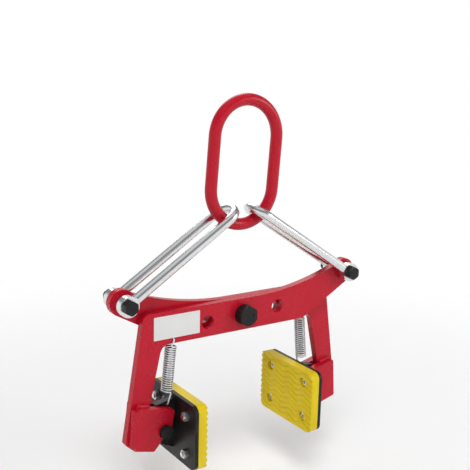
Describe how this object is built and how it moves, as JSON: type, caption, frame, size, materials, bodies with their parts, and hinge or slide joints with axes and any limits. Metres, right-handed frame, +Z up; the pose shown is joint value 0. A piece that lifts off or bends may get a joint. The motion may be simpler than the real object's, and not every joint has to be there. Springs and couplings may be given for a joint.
{
  "type": "lifting tongs",
  "caption": "Scissor lifting tongs: crossed flat arms hung by loop links from an oblong ring, with sprung, ridged grip pads on the feet.",
  "frame": {"origin": "inner top of the suspension ring, the point that hangs on the hook", "axes": "+Z up towards the hook, +X to the viewer's right along the arms, +Y away from the viewer along the bolts"},
  "size_m": [0.356, 0.1222, 0.4396],
  "materials": {
    "red_paint": "gloss",
    "zinc": "satin",
    "black_bolt": "satin",
    "black_paint": "satin",
    "yellow_pad": "matte"
  },
  "bodies": {
    "ring": {"suspension_ring": "red_paint"},
    "left_link": {"left_link": "zinc"},
    "rear_arm": {"rear_arm": "red_paint", "left_link_bolt": "black_bolt", "left_link_nut": "black_bolt", "left_link_spacer_front": "zinc", "left_link_spacer_rear": "zinc", "right_cheek_front": "red_paint", "right_cheek_rear": "red_paint", "right_pad_bolt": "black_bolt", "right_pad_bolt_nut": "black_bolt", "right_spring": "zinc"},
    "front_arm": {"front_arm": "red_paint", "pivot_bolt": "black_bolt", "pivot_nut": "black_bolt", "pivot_washer_front": "black_bolt", "pivot_washer_rear": "black_bolt", "right_link_bolt": "black_bolt", "right_link_nut": "black_bolt", "right_link_spacer_front": "zinc", "right_link_spacer_rear": "zinc", "left_cheek_front": "red_paint", "left_cheek_rear": "red_paint", "left_pad_bolt": "black_bolt", "left_pad_bolt_nut": "black_bolt", "left_spring": "zinc"},
    "right_link": {"right_link": "zinc"},
    "left_pad": {"left_pad_carrier": "black_paint", "left_pad": "yellow_pad", "left_pad_screw_1": "zinc", "left_pad_screw_2": "zinc", "left_pad_screw_3": "zinc", "left_pad_screw_4": "zinc", "left_pad_nut_1": "zinc", "left_pad_nut_2": "zinc", "left_pad_nut_3": "zinc", "left_pad_nut_4": "zinc"},
    "right_pad": {"right_pad_carrier": "black_paint", "right_pad": "yellow_pad", "right_pad_screw_1": "zinc", "right_pad_screw_2": "zinc", "right_pad_screw_3": "zinc", "right_pad_screw_4": "zinc", "right_pad_nut_1": "zinc", "right_pad_nut_2": "zinc", "right_pad_nut_3": "zinc", "right_pad_nut_4": "zinc"}
  },
  "joints": [
    {"name": "left_link_swing", "type": "hinge", "parent": "ring", "child": "left_link", "pos_m": [-0.02398, 0, -0.13983], "axis": [0, -1, 0], "range_deg": [-1.31, 10.22]},
    {"name": "left_lug_turn", "type": "hinge", "parent": "left_link", "child": "rear_arm", "pos_m": [-0.16633, 0, -0.22165], "axis": [0, -1, 0], "range_deg": [-28.22, 2.81]},
    {"name": "jaw", "type": "hinge", "parent": "rear_arm", "child": "front_arm", "pos_m": [-0.00432, 0, -0.25765], "axis": [0, -1, 0], "range_deg": [-3, 36]},
    {"name": "right_lug_turn", "type": "hinge", "parent": "front_arm", "child": "right_link", "pos_m": [0.15768, 0, -0.22165], "axis": [0, -1, 0], "range_deg": [-28.22, 2.81]},
    {"name": "left_pad_swing", "type": "hinge", "parent": "front_arm", "child": "left_pad", "pos_m": [-0.12033, -0.0051, -0.38365], "axis": [0, -1, 0], "range_deg": [-8, 8], "stiffness_Nm_per_rad": 2, "springref_deg": 3.78, "deforming": ["left_spring"]},
    {"name": "right_pad_swing", "type": "hinge", "parent": "rear_arm", "child": "right_pad", "pos_m": [0.11167, 0.0051, -0.38365], "axis": [0, -1, 0], "range_deg": [-8, 8], "stiffness_Nm_per_rad": 2, "springref_deg": -3.78, "deforming": ["right_spring"]}
  ],
  "couplings": [
    {"joint": "left_link_swing", "follows": "jaw", "ratio": 0.27},
    {"joint": "left_lug_turn", "follows": "jaw", "ratio": -0.77},
    {"joint": "right_lug_turn", "follows": "jaw", "ratio": -0.77}
  ]
}
